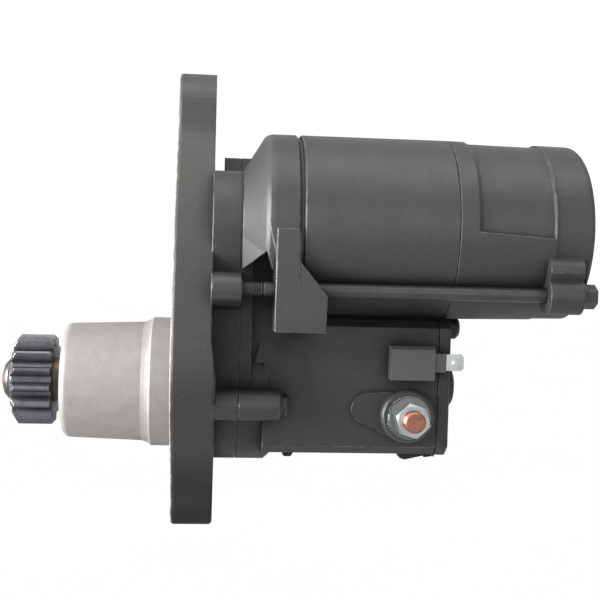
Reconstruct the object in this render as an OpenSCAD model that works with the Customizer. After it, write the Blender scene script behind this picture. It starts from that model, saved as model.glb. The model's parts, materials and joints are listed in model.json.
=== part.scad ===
// Starter motor with an offset reduction gear.
// The pinion shaft runs along X through the origin, and the motor lies above it, parallel.
// The origin is where the pinion axis meets the flange's mounting face.
// +X runs from the pinion to the motor's rear, -Y is the terminal side, and +Z is up.

/* [Flange and nose] */
// Thickness of the mounting flange
flange_t = 17; // [14:0.5:18]
// Radius of the pilot that centres the starter
pilot_r = 26; // [25.6:0.1:26.2]
// Length of the pilot in front of the flange
pilot_len = 9; // [8.8:0.1:9.6]
// Radius of the nose at its front end
nose_r = 23; // [22.5:0.25:23.5]
// Distance from the mounting face to the front of the nose
nose_len = 43.2; // [42:0.2:44]
// Radius of each mounting hole
mount_hole_r = 5.25; // [4.5:0.25:5.5]
// Sideways place of both mounting holes
mount_y = 8; // [6:0.5:10]
// Height of the upper mounting hole
mount_top_z = 109; // [107:0.5:110]
// Height of the lower mounting hole
mount_low_z = -46; // [-48:0.5:-45]

/* [Motor] */
// Sideways place of the motor axis
motor_y = -18; // [-18.5:0.1:-17.5]
// Height of the motor axis
motor_z = 64.1; // [64:0.1:64.4]
// Outer radius of the motor tube
yoke_r = 35.2; // [35.1:0.1:35.4]
// Wall thickness of the motor tube
yoke_wall = 3.5; // [3:0.1:3.8]
// Front end of the motor tube
yoke_x0 = 47.6; // [47.3:0.1:47.9]
// Rear end of the motor tube
yoke_x1 = 104.5; // [104:0.1:105.5]
// Rear face of the end cover
cover_x1 = 156.3; // [155.8:0.1:156.8]

/* [Gears] */
// Gear module of the reduction train
gear_m = 1.5; // [1.5:0.01:1.52]
// Teeth on the armature shaft
armature_teeth = 10; // [10:1:10]
// Teeth on the idler gear
idler_teeth = 24; // [24:1:24]
// Teeth on the clutch gear
clutch_teeth = 34; // [34:1:34]
// Teeth on the drive pinion
pinion_teeth = 15; // [13:1:15]
// Gear module of the drive pinion
pinion_m = 2.117; // [2:0.001:2.13]

/* [Switch] */
// Outer radius of the switch barrel, away from its flat near side
barrel_r = 28; // [27.8:0.1:28.2]
// Rear end of the switch barrel
barrel_x1 = 102.8; // [102.5:0.1:103.2]
// Travel of the plunger and of the pinion
travel = 12; // [8:0.5:12]

/* [Terminals] */
// Place of the battery stud along X
stud_x = 91.1; // [90.8:0.1:91.4]
// Height of the battery stud
stud_z = -8.4; // [-8.8:0.1:-8]
// Radius of the battery stud
stud_r = 4; // [3.5:0.1:4]
// Distance of the battery stud's end from the pinion axis
stud_reach = 48; // [46:0.5:50]
// Height of the motor stud on the far side
motor_stud_z = 10; // [9:0.5:11]

/* [Hidden] */

$fn = 64;
eps = 0.01;
run_gap = 0.05;          // radial clearance of a running fit
paint = [0.25, 0.25, 0.24];
steel = [0.60, 0.61, 0.63];
zinc = [0.80, 0.82, 0.86];
copper = [0.80, 0.48, 0.36];
black = [0.08, 0.08, 0.09];
plastic = [0.33, 0.33, 0.35];

pressure_angle = 25;
backlash = 0.16;

seam_x = 25.8;           // joint between the gasket and the switch case
gasket_t = 0.4;
cavity_x0 = 6;           // front wall of the gear case
gear_x0 = 9.5;
gear_x1 = 22;
rim_motor_r = 20.6;
rim_pinion_r = 30.7;
rim_idler_r = 24.2;
rim_wall = 3.2;
bolt_r = 2.65;
bolt_dy = 29.7;          // through bolts, measured from the motor axis
bolt_dz = 24.2;
bolt_x0 = 20;            // front end of the through bolts, screwed into the drive housing
near_bolt = [motor_y - bolt_dy, motor_z - bolt_dz];
far_bolt = [motor_y + bolt_dy, motor_z + bolt_dz];
case_screws = [[-35, -4.2], [30, -16]];
cover_screw_at = [100, -5];
cover_flush_screw_at = 262;
cover_screw_ring = 25;

// Gear centres, with the idler on the far side of the line between the two axes
axis_gap = norm([motor_y, motor_z]);
reach_motor = gear_m * (armature_teeth + idler_teeth) / 2;
reach_clutch = gear_m * (idler_teeth + clutch_teeth) / 2;
angle_down = atan2(-motor_z, -motor_y);
angle_off = acos((reach_motor ^ 2 + axis_gap ^ 2 - reach_clutch ^ 2)
    / (2 * reach_motor * axis_gap));
idler_y = motor_y + reach_motor * cos(angle_down + angle_off);
idler_z = motor_z + reach_motor * sin(angle_down + angle_off);
to_motor = atan2(motor_z - idler_z, motor_y - idler_y);
to_clutch = atan2(-idler_z, -idler_y);
// Each gear's first tooth is turned so that the train is in mesh at rest
idler_turn = to_motor;
armature_turn = to_motor + 180 + 180 / armature_teeth;
clutch_turn = to_clutch + 180
    + (0.5 - (idler_turn - to_clutch) * idler_teeth / 360) * 360 / clutch_teeth;

// ---------- helpers ----------

// Draws a (Y, Z) outline from x0 to x1
module yz(x0, x1) translate([x0, 0, 0]) rotate([90, 0, 90]) linear_extrude(x1 - x0) children();

// Draws an (X, Z) outline from y0 to y1
module xz(y0, y1) translate([0, y1, 0]) rotate([90, 0, 0]) linear_extrude(y1 - y0) children();

// Cylinder along X
module rod_x(x0, x1, r, y = 0, z = 0)
    translate([x0, y, z]) rotate([0, 90, 0]) cylinder(h = x1 - x0, r = r);

// Cone along X
module cone_x(x0, x1, r0, r1, y = 0, z = 0)
    translate([x0, y, z]) rotate([0, 90, 0]) cylinder(h = x1 - x0, r1 = r0, r2 = r1);

// Tube along X
module tube_x(x0, x1, outer, inner, y = 0, z = 0)
    difference() {
        rod_x(x0, x1, outer, y, z);
        rod_x(x0 - 1, x1 + 1, inner, y, z);
    }

// Solid of revolution about an axis along X, from points [radius, x]
module turn_x(points, y = 0, z = 0)
    translate([0, y, z]) rotate([0, 90, 0]) rotate_extrude() polygon(points);

// Cylinder towards -Y from y0 to y1, where y1 is the nearer end
module rod_near(y0, y1, r, x, z, sides = 64)
    translate([x, y0, z]) rotate([90, 0, 0]) cylinder(h = y0 - y1, r = r, $fn = sides);

// Points of an arc about [cy, cz]
function arc(cy, cz, r, a0, a1, steps) =
    [for (i = [0:steps]) let (a = a0 + (a1 - a0) * i / steps) [cy + r * cos(a), cz + r * sin(a)]];

// Outline round two circles, with straight sides that cut into them by a hair rather than touch
module belt_2d(c0, r0, c1, r1, hair = 0.004) {
    gap = norm(c1 - c0);
    dir = atan2(c1[1] - c0[1], c1[0] - c0[0]);
    lean = acos((r0 - r1) / gap);
    translate(c0) circle(r0);
    translate(c1) circle(r1);
    polygon([for (s = [1, -1]) each let (a = dir + s * lean, u = [cos(a), sin(a)])
        s > 0 ? [c0 + (r0 - hair) * u, c1 + (r1 - hair) * u]
            : [c1 + (r1 - hair) * u, c0 + (r0 - hair) * u]]);
}

// The same outline as points, for small bosses
function belt_points(c0, r0, c1, r1, steps = 12) =
    let (dir = atan2(c1[1] - c0[1], c1[0] - c0[0]), lean = acos((r0 - r1) / norm(c1 - c0)))
    concat(arc(c0[0], c0[1], r0, dir + lean, dir + 360 - lean, steps),
        arc(c1[0], c1[1], r1, dir - lean, dir + lean, steps));

// Outline of the gear case, moved in by d
module case_2d(d = 0) {
    belt_2d([0, 0], rim_pinion_r - d, [motor_y, motor_z], rim_motor_r - d);
    belt_2d([0, 0], rim_pinion_r - d, [idler_y, idler_z], rim_idler_r - d);
    belt_2d([idler_y, idler_z], rim_idler_r - d, [motor_y, motor_z], rim_motor_r - d);
}

// One ring of a closed outline, moved in by d
function inset(pts, d) = let (n = len(pts)) [for (i = [0:n - 1])
    let (a = pts[(i + n - 1) % n], b = pts[i], c = pts[(i + 1) % n],
        u = (b - a) / norm(b - a), v = (c - b) / norm(c - b))
    b + d * [-(u[1] + v[1]), u[0] + v[0]] / (1 + u * v)];

// Plate from a closed (Y, Z) outline, with rings [x, inset] that round its edges
module loft_x(pts, rings) {
    n = len(pts);
    m = len(rings);
    polyhedron(
        points = [for (k = rings) for (p = inset(pts, k[1])) [k[0], p[0], p[1]]],
        faces = concat(
            [[for (i = [0:n - 1]) i]],
            [[for (i = [n - 1:-1:0]) (m - 1) * n + i]],
            [for (k = [0:m - 2]) for (i = [0:n - 1])
                [k * n + i, (k + 1) * n + i, (k + 1) * n + (i + 1) % n, k * n + (i + 1) % n]]));
}

// Involute spur gear outline, with its first tooth at angle turn
function involute(base, r) = let (t = sqrt(max(0, (r / base) ^ 2 - 1))) t * 180 / PI - atan(t);
module gear_2d(teeth, m, turn = 0, play = backlash, steps = 4) {
    pitch = m * teeth / 2;
    base = pitch * cos(pressure_angle);
    tip = pitch + m;
    root = pitch - 1.25 * m;
    low = max(base, root);
    half = (PI * m / 2 - play) / (2 * pitch) * 180 / PI + involute(base, pitch);
    polygon([for (k = [0:teeth - 1]) let (mid = turn + k * 360 / teeth) each concat(
        [[root * cos(mid - half), root * sin(mid - half)]],
        [for (i = [0:steps]) let (r = low + (tip - low) * i / steps,
            a = mid - half + involute(base, r)) [r * cos(a), r * sin(a)]],
        [for (i = [steps:-1:0]) let (r = low + (tip - low) * i / steps,
            a = mid + half - involute(base, r)) [r * cos(a), r * sin(a)]],
        [[root * cos(mid + half), root * sin(mid + half)]])]);
}

module gear_x(x0, x1, teeth, m, turn, y, z)
    translate([0, y, z]) yz(x0, x1) gear_2d(teeth, m, turn);

// Ball bearing along X, as two rings and a row of balls
module bearing_x(x0, x1, inner, outer, balls, y = 0, z = 0) {
    mid = (inner + outer) / 2;
    ball = (outer - inner) * 0.28;
    groove = ball * 1.02;
    x_mid = (x0 + x1) / 2;
    difference() {
        union() {
            tube_x(x0, x1, outer, outer - (outer - inner) * 0.3, y, z);
            tube_x(x0, x1, inner + (outer - inner) * 0.3, inner, y, z);
        }
        translate([x_mid, y, z]) rotate([0, 90, 0]) rotate_extrude()
            translate([mid, 0]) circle(groove);
    }
    for (i = [0:balls - 1])
        translate([x_mid, y + mid * cos(i * 360 / balls), z + mid * sin(i * 360 / balls)])
            sphere(ball * 0.98, $fn = 24);
}

// Hexagonal prism along X, af across flats
module hex_x(x0, x1, af, y, z)
    translate([x0, y, z]) rotate([0, 90, 0]) cylinder(h = x1 - x0, r = af / sqrt(3), $fn = 6);

// Coil spring along X from x0 to x1, as a swept ring of sides facets
module spring_x(x0, x1, r, wire, turns, y = 0, z = 0, sides = 6, per_turn = 16) {
    n = turns * per_turn;
    rise = (x1 - x0 - 2 * wire) / n;
    polyhedron(
        points = [for (i = [0:n]) for (k = [0:sides - 1])
            let (a = i * 360 / per_turn, b = k * 360 / sides, q = r + wire * cos(b))
            [x0 + wire + rise * i + wire * sin(b), y + q * cos(a), z + q * sin(a)]],
        faces = concat(
            [[for (k = [sides - 1:-1:0]) k]],
            [[for (k = [0:sides - 1]) n * sides + k]],
            [for (i = [0:n - 1]) for (k = [0:sides - 1])
                [i * sides + k, i * sides + (k + 1) % sides,
                    (i + 1) * sides + (k + 1) % sides, (i + 1) * sides + k]]));
}

// ---------- drive housing ----------

ear_r = 17;
foot_r = 14;
foot = [6, -46];

// Rounds an open chain of points by cutting its corners
function cut_corners(p) = concat([p[0]],
    [for (i = [0:len(p) - 2]) each [0.75 * p[i] + 0.25 * p[i + 1], 0.25 * p[i] + 0.75 * p[i + 1]]],
    [p[len(p) - 1]]);

ear_arc = arc(mount_y, mount_top_z, ear_r, 20, 178, 20);
foot_arc = arc(foot[0], foot[1], foot_r, 200, 340, 16);
near_edge = cut_corners(cut_corners([ear_arc[20], [-11, 99], [-21, 86], [-34, 62], [-43, 38],
    [-46, 14], [-45, 2], [-38, -12], [-24, -26], [-11, -40], foot_arc[0]]));
flange_outline = concat(
    ear_arc,
    [for (i = [1:len(near_edge) - 2]) near_edge[i]],
    foot_arc,
    [[25, -34], [34, -22]],
    arc(-2, 20, 50, -34, 24, 8),
    [[39, 54], [32, 70], [28, 84], [26.5, 98]]);

nose_profile = concat(
    [[0, -nose_len]],
    [for (a = [0:15:90]) [nose_r - 3 + 3 * sin(a), 3 - nose_len - 3 * cos(a)]],
    [[nose_r + 1.1, -pilot_len - 2.8], [nose_r + 1.6, -pilot_len - 1.3], [pilot_r - 0.8, -pilot_len],
        [pilot_r, 0.8 - pilot_len], [pilot_r, 1], [0, 1]]);

flange_step = 2;
case_x0 = flange_t - flange_step - 0.4;   // the gear case starts just inside the flange
far_boss_r = 4.4;
far_boss_root = [-7, 73];

module drive_housing() color(paint) difference() {
    union() {
        turn_x(nose_profile);
        difference() {
            loft_x(flange_outline, [[0, 1.3], [0.35, 0.45], [1.2, 0], [flange_t - 1.2, 0],
                [flange_t - 0.35, 0.45], [flange_t, 1.3]]);
            // The flange is thinner above its foot
            xz(-60, 60) polygon([[flange_t + 1, 5], [flange_t, 5], [flange_t - flange_step, 20],
                [flange_t - flange_step, 150], [flange_t + 1, 150]]);
        }
        yz(case_x0, seam_x - gasket_t) case_2d();
        rod_x(case_x0, seam_x - gasket_t, 6, case_screws[0][0], case_screws[0][1]);
        rod_x(case_x0, seam_x - gasket_t, 6, case_screws[1][0], case_screws[1][1]);
        // Bosses that the through bolts screw into
        yz(flange_t + 2, seam_x - gasket_t) polygon(belt_points(far_bolt, far_boss_r, far_boss_root, 7));
        yz(case_x0, seam_x - gasket_t) polygon(belt_points(near_bolt, 5, [-28, 38], 8));
    }
    // Room for the gears, with a boss for the idler pin
    yz(flange_t, seam_x + 1) case_2d(rim_wall);
    difference() {
        yz(cavity_x0, flange_t + 1) {
            circle(rim_pinion_r - rim_wall);
            translate([idler_y, idler_z]) circle(rim_idler_r - rim_wall);
            translate([motor_y, motor_z]) circle(9.9);
        }
        rod_x(cavity_x0 - 1, 8.8, 9, idler_y, idler_z);
    }
    rod_x(2.5, 9.5, 5, idler_y, idler_z);
    // Stepped bore of the nose
    rod_x(-nose_len - 1, -36.3, 14);
    rod_x(-36.4, -24, 12);
    rod_x(-24.1, cavity_x0 + 1, 13.2);
    rod_x(-4, cavity_x0 + 1, 21);
    // Holes for the mounting bolts and the case screws
    for (z = [mount_top_z, mount_low_z]) rod_x(-1, flange_t + 1, mount_hole_r, mount_y, z);
    for (p = case_screws) rod_x(flange_t - 6, seam_x + 1, 2.5, p[0], p[1]);
    for (p = [near_bolt, far_bolt]) rod_x(bolt_x0, seam_x + 1, bolt_r, p[0], p[1]);
}

module nose_bearing() color([0.72, 0.56, 0.3]) tube_x(-36.3, -24, 12, 9 + run_gap);

module nose_oil_seal() color(black) difference() {
    rod_x(-nose_len + 0.5, -36.3, 14);
    rod_x(-nose_len - 1, -36, 9 + run_gap);
    tube_x(-nose_len - 1, -nose_len + 2.5, 13, 10.2);
}

module clutch_front_bearing() color(steel) bearing_x(-4, 5, 12.5 + run_gap, 21, 13);
module clutch_rear_bearing() color(steel) bearing_x(29.8, 38.8, 15 + run_gap, 23.5, 14);

// ---------- switch case ----------

bell_x0 = 26.2;
bell_x1 = 34.2;
bell_end = 46.4;
lug_y = -53;
collar_r = rim_pinion_r;

module bell() difference() {
    union() {
        turn_x([[0, bell_x0], [21, bell_x0], [32, bell_x1 - 1.4], [33.8, bell_x1 - 0.3],
            [34.8, bell_x1 + 1], [yoke_r, bell_x1 + 2.6], [yoke_r, bell_end - 0.8],
            [yoke_r - 0.8, bell_end], [0, bell_end]], motor_y, motor_z);
        // Flat gusset that stands out of the cone where it meets the recess
        translate([0, 0, 40]) linear_extrude(20)
            polygon([[seam_x, -30], [seam_x, -37.7], [bell_x1, -50.3], [bell_x1 + 0.6, -49],
                [bell_x1 + 0.6, -30]]);
    }
    // Open recess under the cone
    xz(-60, 30) polygon([[seam_x - 1, 20], [seam_x - 1, 46], [seam_x, 46.6], [bell_x1, 53.6],
        [35.6, 50.2], [36.6, 47.6], [37.6, 46.4], [37.6, 20]]);
}

// Arm that carries the near bolt down from the bell
module bolt_lug() difference() {
    union() {
        xz(lug_y, -39.6) polygon([[35, 64], [35.6, 60.8], [37.2, 54.5], [37.6, 50], [37.6, 24.5],
            [56.2, 24.5], [56.4, 38], [47.2, 49], [bell_end, 50.2], [bell_end, 64]]);
        yz(37.8, 45.9) polygon([[lug_y, 36], [lug_y - 0.5, 62], [lug_y + 8, 62], [lug_y + 8, 36]]);
    }
    rod_x(20, bell_end, yoke_r - 4, motor_y, motor_z);
    rod_x(bell_end - 1, 70, yoke_r, motor_y, motor_z);
}

// Section of the switch barrel: round, with a flat near side and a bevel under it
flat_y = -29.5;
near_profile = [[-26.4, 28.6], [flat_y, 25.6], [flat_y, -20.8], [-25.6, -24]];
module barrel_2d(d = 0) {
    circle(barrel_r - d);
    polygon(inset(concat([[0, 28.6]], near_profile, [[0, -barrel_r]]), d));
}

seat_y = -31.2;          // near face of the battery terminal's seat

module switch_case() color(paint) difference() {
    union() {
        yz(seam_x, 30.2) case_2d();
        turn_x([[0, seam_x], [collar_r, seam_x], [collar_r, 37], [barrel_r + 0.8, 39.2], [0, 39.2]]);
        yz(35.3, barrel_x1) barrel_2d();
        // The flat near side starts on a slant above the collar
        xz(flat_y, -15) polygon([[31.5, 11], [35.5, 25.6], [40, 25.6], [40, 11]]);
        bell();
        bolt_lug();
        // Web between the bell and the barrel
        yz(30, 44) difference() {
            belt_2d([0, 0], 26, [motor_y, motor_z], 18);
            translate([motor_y, motor_z]) circle(17);
        }
        // Boss for the near case screw and its rounded end
        rod_x(seam_x, 41, 6, case_screws[0][0], case_screws[0][1]);
        cone_x(41, 42.4, 6, 4.8, case_screws[0][0], case_screws[0][1]);
        translate([seam_x, -35, -9.2]) cube([13, 14, 10]);
        rod_x(seam_x, 40, 6, case_screws[1][0], case_screws[1][1]);
        yz(seam_x, 33) polygon(belt_points(far_bolt, far_boss_r, far_boss_root, 7));
        // Lug for the far bolt
        yz(39, 52) belt_2d(far_bolt, 6.5, [motor_y + 16, motor_z + 15], 8);
        // Small drain nub under the barrel
        translate([47.5, 0, -26]) rotate([180, 0, 0]) cylinder(h = 3.4, r = 2.2);
        // Front seat of the idler pin's rear end
        rod_x(22.6, 28, 8.5, idler_y, idler_z);
        // Boss of the flush cover screw under the barrel's rear end
        xz(-6.5, 0.5) polygon([[91.5, -26], [93.5, -29.5], [95.5, -30], [barrel_x1, -28.4],
            [barrel_x1, -24], [91.5, -24]]);
        // Seat of the battery terminal, a teardrop pad on the near side
        rod_near(-20, seat_y, 10.5, stud_x, stud_z);
        xz(seat_y + 0.4, -20) polygon(belt_points([75.3, -5.8], 6, [stud_x, stud_z], 9.8));
        // Seat of the motor terminal on the far side
        rod_near(33, 20, 9, stud_x, motor_stud_z);
        // Spigot for the yoke
        rod_x(bell_end - 1, 52, yoke_r - yoke_wall, motor_y, motor_z);
    }
    // Room for the gears
    difference() {
        yz(seam_x - 1, 29.2) case_2d(rim_wall);
        rod_x(20, 30, 8.5, idler_y, idler_z);
        translate([20, motor_y, motor_z]) rotate([0, 90, 0]) cylinder(h = 20, r = 20.8);
    }
    rod_x(20, 30, 5, idler_y, idler_z);
    // Seat of the clutch bearing
    rod_x(29, 38.9, 23.5);
    rod_x(38, 43, 5);
    // Room for the coil and the contacts, with bosses for the cover screws
    difference() {
        rod_x(42, barrel_x1 + 1, 25.5);
        for (a = concat(cover_screw_at, [cover_flush_screw_at]))
            rod_x(82, barrel_x1 + 2, 4.4, cover_screw_ring * cos(a), cover_screw_ring * sin(a));
    }
    // Seat of the armature bearing, and the front of the motor's inside
    rod_x(20, 30, 13, motor_y, motor_z);
    rod_x(28, 60, 17.6, motor_y, motor_z);
    cone_x(39, 43, 17.6, 28.5, motor_y, motor_z);
    rod_x(42.9, 60, 28.5, motor_y, motor_z);
    // Seat of the motor tube
    tube_x(bell_end, 70, yoke_r + 0.2, yoke_r - yoke_wall, motor_y, motor_z);
    // Bolt, screw and terminal holes
    for (p = [near_bolt, far_bolt]) rod_x(20, 62, bolt_r + run_gap, p[0], p[1]);
    for (p = case_screws) rod_x(20, 45, 2.5, p[0], p[1]);
    for (a = concat(cover_screw_at, [cover_flush_screw_at]))
        rod_x(90, 110, 2.2, cover_screw_ring * cos(a), cover_screw_ring * sin(a));
    rod_near(0, -50, 6.5, stud_x, stud_z);
    rod_near(50, 0, 6.5, stud_x, motor_stud_z);
}

module gear_case_gasket() color(black) difference() {
    union() {
        yz(seam_x - gasket_t, seam_x) case_2d(0.3);
        for (p = case_screws) rod_x(seam_x - gasket_t, seam_x, 5.5, p[0], p[1]);
        yz(seam_x - gasket_t, seam_x)
            polygon(belt_points(far_bolt, far_boss_r - 0.2, far_boss_root, 6.8));
    }
    yz(seam_x - 1, seam_x + 1) case_2d(rim_wall);
    for (p = case_screws) rod_x(seam_x - 1, seam_x + 1, 2.5, p[0], p[1]);
    rod_x(seam_x - 1, seam_x + 1, bolt_r + run_gap, far_bolt[0], far_bolt[1]);
}

screw_seat = [42.4, 40];   // rear face of each screw's boss

module housing_screws() color(steel) for (i = [0:1])
    let (p = case_screws[i], x = screw_seat[i]) {
        rod_x(flange_t - 5, x, 2.5, p[0], p[1]);
        turn_x([[0, x], [4.4, x], [4.4, x + 1.4], [3.4, x + 2.3], [0, x + 2.3]], p[0], p[1]);
    }

module drain_cap() color(black) translate([47.5, 0, -29.4]) rotate([180, 0, 0])
    cylinder(h = 0.7, r = 1.7);

// ---------- switch inside ----------

coil_x0 = 46;
coil_x1 = 79;
core_face = 54.2;        // rear face of the core, where the plunger stops
plunger_x0 = core_face + travel + 0.3;

module switch_core() color(steel) difference() {
    union() {
        rod_x(42, coil_x0, 25.5);
        rod_x(coil_x0 - eps, core_face, 11);
    }
    rod_x(41, core_face + 1, 3.5 + run_gap);
}

module coil_bobbin() color([0.75, 0.7, 0.58]) difference() {
    rod_x(coil_x0, coil_x1, 24.5);
    tube_x(coil_x0 + 1.5, coil_x1 - 1.5, 26, 12.4);
    rod_x(coil_x0 - 1, coil_x1 + 1, 11);
}

module coil_winding() color(copper) turn_x(concat([[12.4, coil_x0 + 1.5]],
    [for (i = [0:19]) let (x = coil_x0 + 1.5 + (coil_x1 - coil_x0 - 3) * (i + 0.5) / 20)
        each [[22.6, x - 0.7], [23.4, x]]], [[22.6, coil_x1 - 1.5], [12.4, coil_x1 - 1.5]]));

module plunger() color(steel) difference() {
    turn_x([[0, plunger_x0], [9.8, plunger_x0], [10.7, plunger_x0 + 1], [10.7, 90],
        [6, 91], [4, 91], [4, 108], [0, 108]]);
    rod_x(plunger_x0 - 1, plunger_x0 + 12, 3.5);
}

module plunger_rod() color([0.75, 0.76, 0.78])
    turn_x([[0, 20.3], [2.6, 20.3], [3.5, 21.2], [3.5, plunger_x0 + 12], [0, plunger_x0 + 12]]);

module contact_insulator() color([0.45, 0.2, 0.12]) difference() {
    union() {
        rod_x(91, 98.5, 6.5);
        rod_x(91, 94.5, 9);
    }
    rod_x(90, 99, 4);
}

module contact_plate() color(copper) difference() {
    rod_x(94.5, 96.5, 16.5);
    rod_x(94, 97, 6.5);
}

module contact_spring() color(steel) spring_x(98.5, 105.6, 5.6, 0.6, 4);

contact_y = 20.5;        // inner face of the fixed contacts

module fixed_contact(side, z) {
    translate([80, side > 0 ? contact_y - 8.5 : -contact_y, z - 5]) cube([2.1, 8.5, 10]);
    translate([80, side > 0 ? contact_y - 2 : -contact_y, z - 5]) cube([19, 2, 10]);
}

module fixed_contacts() color(copper) {
    fixed_contact(-1, stud_z + 2.6);
    fixed_contact(1, motor_stud_z - 2);
}

cover_x0 = barrel_x1 + 0.6;
cover_face = 107.9;
dome_x1 = 115.3;

module cover_gasket() color(black) difference() {
    yz(barrel_x1, cover_x0) barrel_2d(0.7);
    difference() {
        rod_x(barrel_x1 - 1, cover_x0 + 1, 25.5);
        for (a = concat(cover_screw_at, [cover_flush_screw_at]))
            rod_x(100, 110, 4.4, cover_screw_ring * cos(a), cover_screw_ring * sin(a));
    }
    for (a = concat(cover_screw_at, [cover_flush_screw_at]))
        rod_x(100, 110, 2.4, cover_screw_ring * cos(a), cover_screw_ring * sin(a));
}

cover_outline = concat(arc(0, 0, barrel_r, -88, 88, 32), near_profile);

module switch_end_cover() color(paint) difference() {
    union() {
        loft_x(cover_outline, [[cover_x0, -0.3], [cover_face - 1.2, -0.3],
            [cover_face - 0.4, 0], [cover_face, 0.8]]);
        turn_x(concat([[0, cover_face - 1], [9.9, cover_face - 1], [9.9, cover_face + 0.1],
            [9, cover_face + 0.6]],
            [for (a = [0:15:90]) [5.8 + 3 * cos(a), dome_x1 - 3 + 3 * sin(a)]],
            [[0, dome_x1]]));
        // Ear over the flush screw's boss
        xz(-7, 1) polygon([[cover_x0, -24], [cover_x0, -28.9], [cover_face - 1.5, -28.5],
            [cover_face - 0.4, -26.5], [cover_face - 0.4, -24]]);
    }
    rod_x(cover_x0 - 1, cover_x0 + 1.5, 23);
    rod_x(cover_x0 - 1, dome_x1 - 2.4, 6.6);
    for (a = cover_screw_at)
        rod_x(100, 112, 2.4, cover_screw_ring * cos(a), cover_screw_ring * sin(a));
    rod_x(100, 112, 2.4, cover_screw_ring * cos(cover_flush_screw_at),
        cover_screw_ring * sin(cover_flush_screw_at));
    cone_x(cover_face - 2.4, cover_face + eps, 2.4, 4.6,
        cover_screw_ring * cos(cover_flush_screw_at), cover_screw_ring * sin(cover_flush_screw_at));
}

module cover_screws() color(steel) {
    for (a = cover_screw_at)
        let (y = cover_screw_ring * cos(a), z = cover_screw_ring * sin(a)) {
            rod_x(92, cover_face, 2.2, y, z);
            turn_x([[0, cover_face], [4.9, cover_face], [4.9, cover_face + 1.1],
                [4.6, cover_face + 1.6], [4.6, cover_face + 7.2], [3.4, cover_face + 8.6],
                [0, cover_face + 8.6]], y, z);
        }
    let (y = cover_screw_ring * cos(cover_flush_screw_at),
        z = cover_screw_ring * sin(cover_flush_screw_at)) {
        rod_x(92, cover_face - 2.3, 2.2, y, z);
        cone_x(cover_face - 2.3, cover_face - 0.1, 2.3, 4.5, y, z);
    }
}

// ---------- terminals ----------

washer_y = -33.6;        // near face of the insulator
nut_y = -37.4;           // far face of the battery nut
thread = 1.25;

module stud_near(head_y, y1, r, x, z) {
    rod_near(head_y, head_y - 3, 6, x, z);
    rod_near(head_y - 3, y1 + 9.2, r, x, z);
    translate([x, 0, z]) rotate([90, 0, 0]) rotate_extrude() polygon(concat(
        [[0, -y1 - 9.2]],
        [for (i = [0:6]) each [[r, -y1 - 9.2 + i * thread], [r - 0.55, -y1 - 9.2 + (i + 0.5) * thread]]],
        [[r, -y1 - 0.45], [r - 0.6, -y1], [0, -y1]]));
}

module battery_stud() color(copper)
    stud_near(-contact_y, -stud_reach, stud_r, stud_x, stud_z);

module terminal_insulator() color(black) {
    difference() {
        union() {
            rod_near(-25.5, seat_y, 6.5, stud_x, stud_z);
            translate([stud_x, 0, stud_z]) rotate([90, 0, 0]) rotate_extrude()
                polygon([[0, -seat_y], [10.3, -seat_y], [10.3, 32.7], [9.4, -washer_y], [0, -washer_y]]);
        }
        rod_near(-20, -40, stud_r, stud_x, stud_z);
    }
    difference() {
        rod_near(25.5, 23.5, 6.5, stud_x, motor_stud_z);
        rod_near(30, 10, stud_r - 0.5, stud_x, motor_stud_z);
    }
    difference() {
        rod_near(36, 33, 7.5, stud_x, motor_stud_z);
        rod_near(40, 30, stud_r - 0.5, stud_x, motor_stud_z);
    }
}

module terminal_washers() color(zinc) difference() {
    union() {
        translate([stud_x, washer_y, stud_z]) rotate([90, 0, 0]) linear_extrude(1.7)
            polygon([for (i = [0:79]) let (r = i % 2 == 0 ? 8.6 : 8.2)
                [r * cos(i * 4.5), r * sin(i * 4.5)]]);
        rod_near(washer_y - 1.7, nut_y, 8, stud_x, stud_z);
    }
    rod_near(-30, -40, stud_r, stud_x, stud_z);
}

module nut_near(y0, y1, af, hole, x, z, turn) difference() {
    intersection() {
        translate([x, y0, z]) rotate([90, turn, 0]) cylinder(h = y0 - y1, r = af / sqrt(3), $fn = 6);
        translate([x, y0, z]) rotate([90, 0, 0]) rotate_extrude()
            polygon([[0, 0], [af / sqrt(3) + 0.1, 0], [af / sqrt(3) + 0.1, y0 - y1 - 0.7],
                [af / 2 - 0.2, y0 - y1], [0, y0 - y1]]);
    }
    rod_near(y0 + 1, y1 - 1, hole, x, z);
}

module battery_nut() color(zinc) nut_near(nut_y, nut_y - 6.8, 12, stud_r, stud_x, stud_z, 17);

module motor_stud() color(copper) mirror([0, 1, 0]) 
    stud_near(-contact_y, -49, stud_r - 0.5, stud_x, motor_stud_z);

lead_y = 39.6;           // the lead's eye on the motor stud

module motor_stud_nut() color(zinc) {
    mirror([0, 1, 0]) nut_near(-lead_y, -lead_y - 5.5, 11, stud_r - 0.5, stud_x, motor_stud_z, 8);
    difference() {
        rod_near(37.4, 36, 7.5, stud_x, motor_stud_z);
        rod_near(40, 30, stud_r - 0.5, stud_x, motor_stud_z);
    }
}

// The lead runs from its eye on the motor stud up to the grommet in the motor tube
lead_r = 3;
lead_points = [[91.1, 38.6, 21], [91.2, 38.6, 24], [91.5, 38.2, 28], [92, 36.8, 31.9],
    [92.5, 34.2, 35.7], [93, 30.6, 38.7], [93.5, 26.4, 41.0], [93.8, 22.6, 42.9],
    [94, 20.0, 44.25], [94, 16.1, 46.3], [94, 12.1, 48.4], [94, 9.4, 49.82]];

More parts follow.
